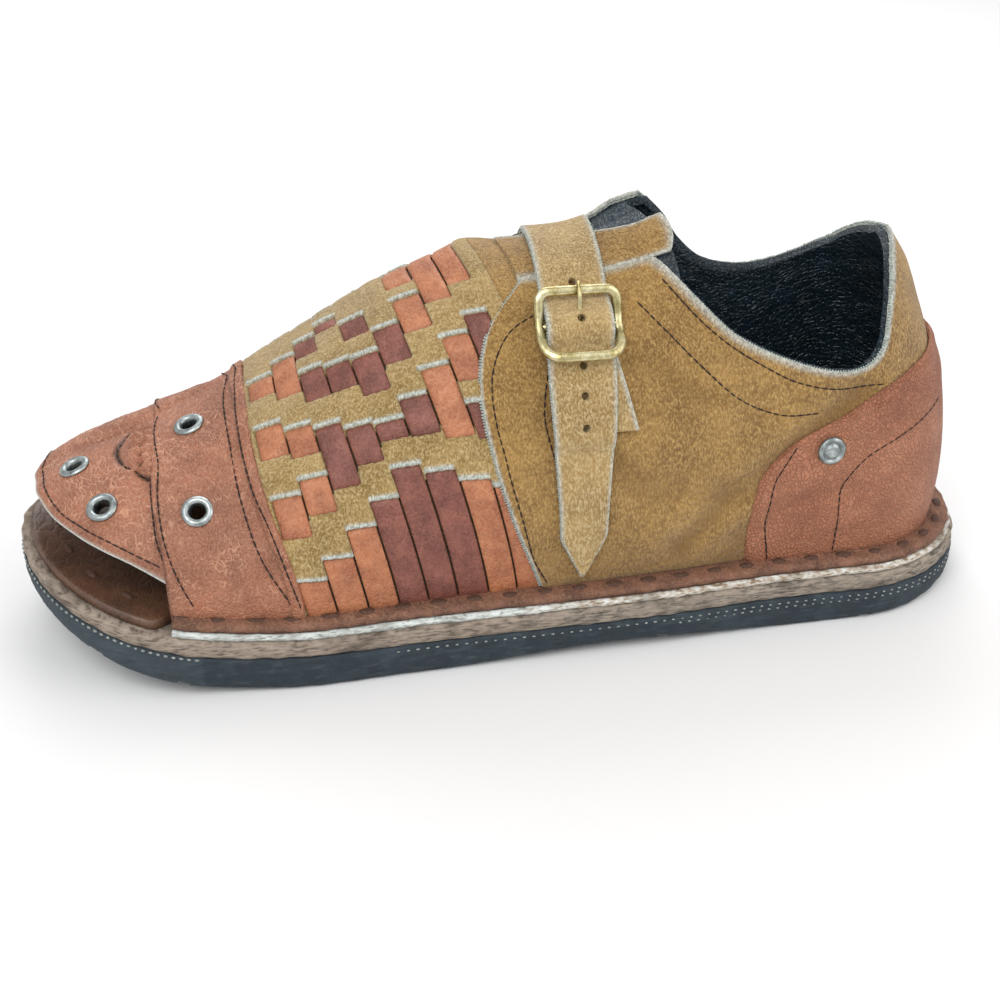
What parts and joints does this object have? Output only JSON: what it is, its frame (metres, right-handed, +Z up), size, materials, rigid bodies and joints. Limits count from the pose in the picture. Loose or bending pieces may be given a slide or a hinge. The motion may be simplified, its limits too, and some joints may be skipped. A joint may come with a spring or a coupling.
{
  "type": "left huarache shoe",
  "caption": "Left huarache shoe: hollow woven leather upper with open toe, suede quarters, strap with centre-bar buckle, heel counter, stitched-down leather midsole and rubber outsole.",
  "frame": {"origin": "middle of the object's box on the floor plane that the outsole stands on", "axes": "+X towards the heel with the toe at -X, -Y towards the outer (lateral) side of the left foot, +Z up"},
  "size_m": [0.3, 0.1004, 0.1227],
  "materials": {
    "rubber": "matt",
    "sole_leather": "rough cut edge",
    "insole_leather": "worn smooth",
    "upper_leather": "satin grain",
    "suede": "napped",
    "brass": "polished",
    "nickel": "worn"
  },
  "bodies": {
    "root": {"outsole": "rubber", "midsole": "sole_leather", "insole": "insole_leather", "upper": "upper_leather", "welt": "sole_leather", "quarter_lateral": "suede", "quarter_medial": "suede", "heel_counter": "upper_leather", "strap": "suede", "buckle_frame": "brass", "buckle_prong": "brass", "buckle_tab": "suede", "eyelet_1": "nickel", "eyelet_2": "nickel", "eyelet_3": "nickel", "eyelet_4": "nickel", "rivet_lateral": "nickel", "rivet_medial": "nickel"}
  },
  "joints": []
}
